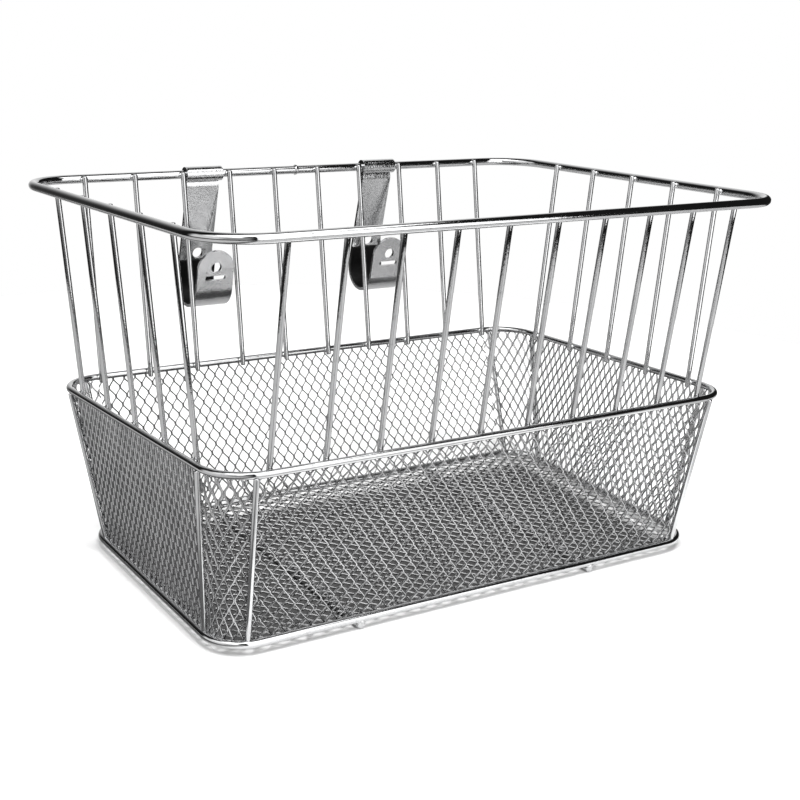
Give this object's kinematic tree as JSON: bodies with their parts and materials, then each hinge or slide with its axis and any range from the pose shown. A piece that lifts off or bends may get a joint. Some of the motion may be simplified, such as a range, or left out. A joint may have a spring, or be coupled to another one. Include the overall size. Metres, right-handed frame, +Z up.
{
  "type": "bicycle handlebar basket",
  "caption": "Chromed wire basket with a deep expanded-mesh tray, open wire upper walls and swinging lined hooks that hang it on a handlebar.",
  "frame": {"origin": "centre of the base on the level surface the part stands on, midway between its runners and midway along the bottom rim's depth", "axes": "+Z up, +X to the part's right seen from its front, -Y towards its front, the side away from the hooks"},
  "size_m": [0.355, 0.2561, 0.216],
  "materials": {
    "wire": "bright plated wire",
    "expanded_mesh": "bright plated expanded metal",
    "sheet_steel": "bright plated pressed sheet",
    "rubber_lining": "black, moulded"
  },
  "bodies": {
    "basket": {"top_rim": "wire", "mid_rim": "wire", "bottom_rim": "wire", "upright_front_1": "wire", "upright_front_2": "wire", "upright_front_3": "wire", "upright_front_4": "wire", "upright_front_5": "wire", "upright_front_6": "wire", "upright_front_7": "wire", "upright_front_8": "wire", "upright_front_9": "wire", "upright_front_10": "wire", "upright_rear_1": "wire", "upright_rear_2": "wire", "upright_rear_3": "wire", "upright_rear_4": "wire", "upright_rear_5": "wire", "upright_rear_6": "wire", "upright_rear_7": "wire", "upright_rear_8": "wire", "upright_rear_9": "wire", "upright_rear_10": "wire", "upright_left_1": "wire", "upright_left_2": "wire", "upright_left_3": "wire", "upright_left_4": "wire", "upright_left_5": "wire", "upright_right_1": "wire", "upright_right_2": "wire", "upright_right_3": "wire", "upright_right_4": "wire", "upright_right_5": "wire", "post_front_left_a": "wire", "post_front_left_b": "wire", "post_front_right_a": "wire", "post_front_right_b": "wire", "post_rear_left_a": "wire", "post_rear_left_b": "wire", "post_rear_right_a": "wire", "post_rear_right_b": "wire", "runner_left": "wire", "runner_right": "wire", "mesh_floor": "expanded_mesh", "mesh_front": "expanded_mesh", "mesh_rear": "expanded_mesh", "mesh_left": "expanded_mesh", "mesh_right": "expanded_mesh", "mesh_front_left": "expanded_mesh", "mesh_front_right": "expanded_mesh", "mesh_rear_left": "expanded_mesh", "mesh_rear_right": "expanded_mesh"},
    "hook_left": {"hook_strap_left": "sheet_steel", "hook_liner_left": "rubber_lining"},
    "hook_right": {"hook_strap_right": "sheet_steel", "hook_liner_right": "rubber_lining"}
  },
  "joints": [
    {"name": "hook_left_swing", "type": "hinge", "parent": "basket", "child": "hook_left", "pos_m": [-0.062, 0.14012, 0.19637], "axis": [1, 0, 0], "continuous": true},
    {"name": "hook_right_swing", "type": "hinge", "parent": "basket", "child": "hook_right", "pos_m": [0.062, 0.14012, 0.19637], "axis": [1, 0, 0], "continuous": true}
  ]
}
